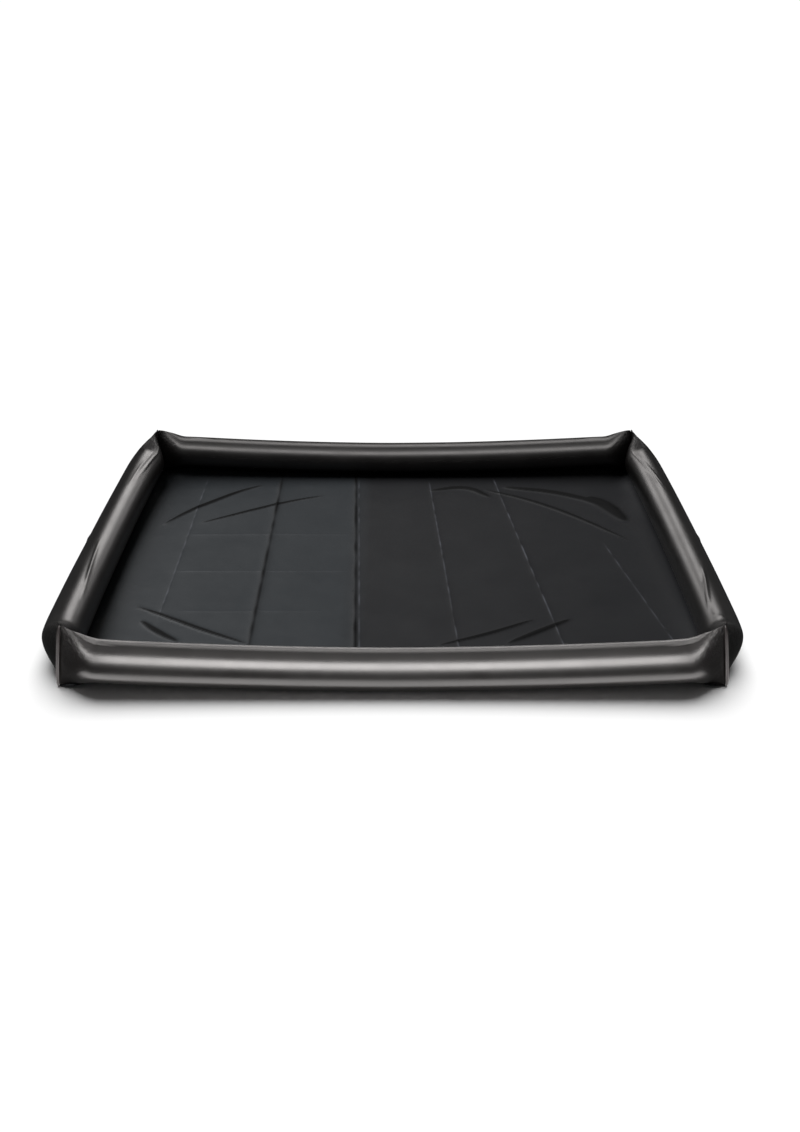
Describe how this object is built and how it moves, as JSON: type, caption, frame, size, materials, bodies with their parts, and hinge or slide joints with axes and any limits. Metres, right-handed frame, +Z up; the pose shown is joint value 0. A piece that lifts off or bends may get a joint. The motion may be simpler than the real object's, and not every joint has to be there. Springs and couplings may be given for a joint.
{
  "type": "inflatable floor liner",
  "caption": "Shallow tray: a thin dark floor sheet inside a ring of air-filled film walls, pinched flat and welded upright at the corners.",
  "frame": {"origin": "middle of the floor sheet's underside, on the floor that the liner lies on", "axes": "+X to the right along the long side, +Y from the front wall to the back wall, +Z up"},
  "size_m": [1.9882, 1.4774, 0.1828],
  "materials": {
    "wall_film": "glossy black PVC film, drawn tight by air",
    "floor_film": "satin charcoal vinyl film with fold creases",
    "seam_film": "heat-welded black film, finely ribbed",
    "valve_plastic": "moulded soft black vinyl, fine grain",
    "cap_plastic": "moulded soft dark grey vinyl, fine grain"
  },
  "bodies": {
    "liner": {"floor_sheet": "floor_film", "front_air_wall": "wall_film", "back_air_wall": "wall_film", "left_air_wall": "wall_film", "right_air_wall": "wall_film", "front_left_corner_seam": "seam_film", "front_right_corner_seam": "seam_film", "back_left_corner_seam": "seam_film", "back_right_corner_seam": "seam_film", "front_valve_base": "valve_plastic", "back_valve_base": "valve_plastic", "left_valve_base": "valve_plastic", "right_valve_base": "valve_plastic"},
    "front_stem": {"front_valve_stem": "valve_plastic"},
    "front_cap": {"front_valve_cap": "cap_plastic"},
    "front_flap": {"front_valve_flap": "valve_plastic"},
    "back_stem": {"back_valve_stem": "valve_plastic"},
    "back_cap": {"back_valve_cap": "cap_plastic"},
    "back_flap": {"back_valve_flap": "valve_plastic"},
    "left_stem": {"left_valve_stem": "valve_plastic"},
    "left_cap": {"left_valve_cap": "cap_plastic"},
    "left_flap": {"left_valve_flap": "valve_plastic"},
    "right_stem": {"right_valve_stem": "valve_plastic"},
    "right_cap": {"right_valve_cap": "cap_plastic"},
    "right_flap": {"right_valve_flap": "valve_plastic"}
  },
  "joints": [
    {"name": "front_stem_slide", "type": "slide", "parent": "liner", "child": "front_stem", "axis": [0, 1, 0], "range_m": [0, 0.01]},
    {"name": "front_cap_hinge", "type": "hinge", "parent": "front_stem", "child": "front_cap", "pos_m": [0, -0.62228, 0.0673], "axis": [1, 0, 0], "range_deg": [0, 150]},
    {"name": "front_flap_hinge", "type": "hinge", "parent": "front_stem", "child": "front_flap", "pos_m": [0, -0.64944, 0.0622], "axis": [-1, 0, 0], "range_deg": [0, 50]},
    {"name": "back_stem_slide", "type": "slide", "parent": "liner", "child": "back_stem", "axis": [0, 1, 0], "range_m": [0, 0.01]},
    {"name": "back_cap_hinge", "type": "hinge", "parent": "back_stem", "child": "back_cap", "pos_m": [0, 0.73772, 0.0673], "axis": [1, 0, 0], "range_deg": [0, 150]},
    {"name": "back_flap_hinge", "type": "hinge", "parent": "back_stem", "child": "back_flap", "pos_m": [0, 0.71056, 0.0622], "axis": [-1, 0, 0], "range_deg": [0, 50]},
    {"name": "left_stem_slide", "type": "slide", "parent": "liner", "child": "left_stem", "axis": [-1, 0, 0], "range_m": [0, 0.01]},
    {"name": "left_cap_hinge", "type": "hinge", "parent": "left_stem", "child": "left_cap", "pos_m": [-0.99272, 0, 0.0673], "axis": [0, 1, 0], "range_deg": [0, 150]},
    {"name": "left_flap_hinge", "type": "hinge", "parent": "left_stem", "child": "left_flap", "pos_m": [-0.96556, 0, 0.0622], "axis": [0, -1, 0], "range_deg": [0, 50]},
    {"name": "right_stem_slide", "type": "slide", "parent": "liner", "child": "right_stem", "axis": [1, 0, 0], "range_m": [0, 0.01]},
    {"name": "right_cap_hinge", "type": "hinge", "parent": "right_stem", "child": "right_cap", "pos_m": [0.99272, 0, 0.0673], "axis": [0, -1, 0], "range_deg": [0, 150]},
    {"name": "right_flap_hinge", "type": "hinge", "parent": "right_stem", "child": "right_flap", "pos_m": [0.96556, 0, 0.0622], "axis": [0, 1, 0], "range_deg": [0, 50]}
  ]
}
